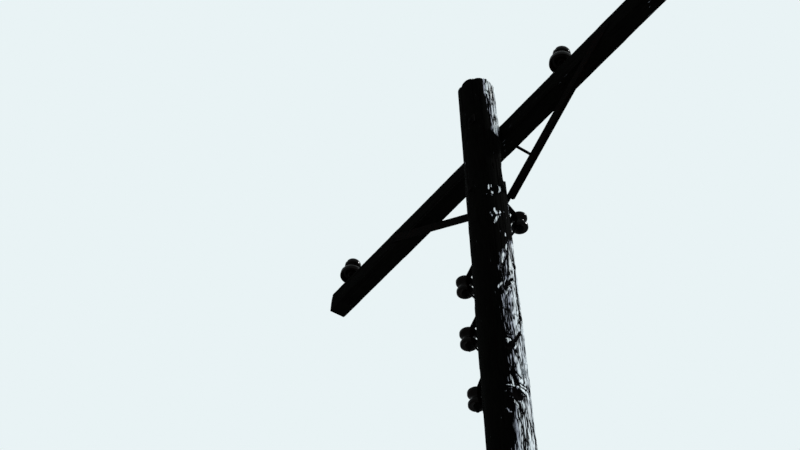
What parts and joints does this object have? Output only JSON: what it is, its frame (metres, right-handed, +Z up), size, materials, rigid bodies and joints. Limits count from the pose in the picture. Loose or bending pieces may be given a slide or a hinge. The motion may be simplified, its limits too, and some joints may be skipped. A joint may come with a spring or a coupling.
{
  "type": "wooden telephone pole",
  "caption": "Round tapered wooden pole with one braced crossarm, upright pin insulators on the arm and spool insulators in strap brackets down the pole.",
  "frame": {"origin": "centre of the pole at ground level", "axes": "+Z up the pole, +X along the crossarm, +Y along the wires, towards the side that carries the crossarm"},
  "size_m": [3.05, 0.4803, 7.51],
  "materials": {
    "pole_wood": "weathered, checked and silvered on the side that takes the sun",
    "arm_wood": "dark weathered sawn timber",
    "brace_steel": "dulled galvanising with rust",
    "weathered_steel": "dull grey galvanising with rust",
    "brown_glaze": "glossy dark brown glaze"
  },
  "bodies": {
    "root": {"pole": "pole_wood", "crossarm": "arm_wood", "brace_left": "brace_steel", "brace_right": "brace_steel", "arm_bolt": "weathered_steel", "arm_bolt_nut": "weathered_steel", "arm_bolt_washers": "weathered_steel", "brace_pole_bolt": "weathered_steel", "brace_pole_nut": "weathered_steel", "brace_arm_bolt_left": "weathered_steel", "brace_arm_bolt_right": "weathered_steel", "insulator_pin_1": "weathered_steel", "insulator_pin_2": "weathered_steel", "insulator_pin_3": "weathered_steel", "insulator_1": "brown_glaze", "insulator_2": "brown_glaze", "insulator_3": "brown_glaze", "insulator_pin_nuts": "weathered_steel", "line_iron_1": "weathered_steel", "line_iron_2": "weathered_steel", "line_iron_3": "weathered_steel", "line_spool_1": "brown_glaze", "line_spool_2": "brown_glaze", "line_spool_3": "brown_glaze", "line_spool_pin_1": "weathered_steel", "line_spool_pin_2": "weathered_steel", "line_spool_pin_3": "weathered_steel", "line_iron_bolt_1": "weathered_steel", "line_iron_bolt_2": "weathered_steel", "line_iron_bolt_3": "weathered_steel", "line_iron_nut_1": "weathered_steel", "line_iron_nut_2": "weathered_steel", "line_iron_nut_3": "weathered_steel", "service_iron": "weathered_steel", "service_spool": "brown_glaze", "service_spool_pin": "weathered_steel", "service_iron_bolt": "weathered_steel", "service_iron_nut": "weathered_steel"}
  },
  "joints": []
}
